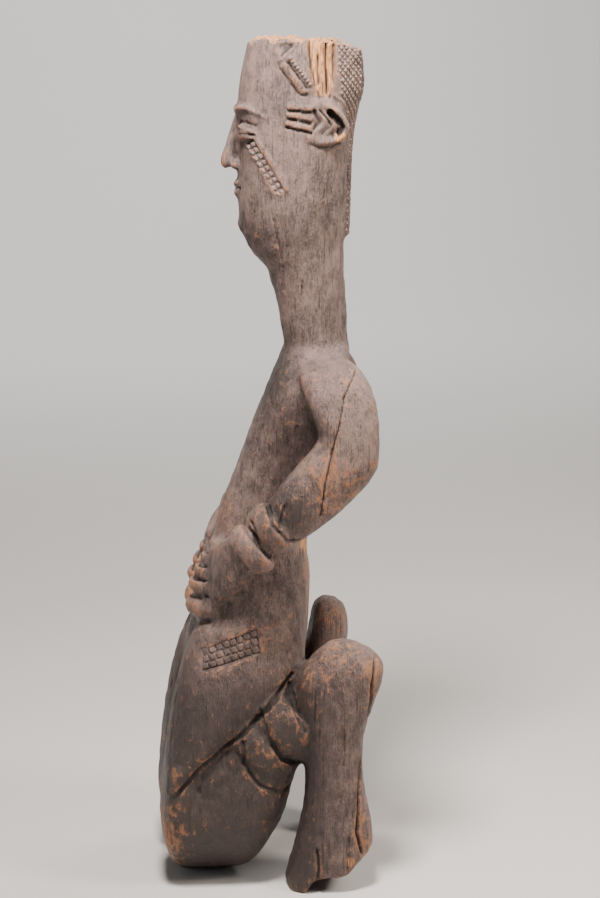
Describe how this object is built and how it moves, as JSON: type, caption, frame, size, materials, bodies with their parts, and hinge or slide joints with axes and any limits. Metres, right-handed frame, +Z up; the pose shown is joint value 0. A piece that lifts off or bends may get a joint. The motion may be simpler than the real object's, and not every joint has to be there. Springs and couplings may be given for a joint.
{
  "type": "ndengese king figure",
  "caption": "Tall kneeling figure carved from one block of dark wood, hands on the belly, with cuffs at wrist and ankle and a flat broken crown.",
  "frame": {"origin": "on the ground under the middle of the figure's box", "axes": "+Z up, the figure faces -Y and its left side is +X"},
  "size_m": [0.2244, 0.2404, 0.9036],
  "materials": {
    "dark_wood": "dull grey-brown handled patina with orange-brown wear on the high places and raw light wood at the broken crown"
  },
  "bodies": {
    "root": {"king_figure": "dark_wood"}
  },
  "joints": []
}
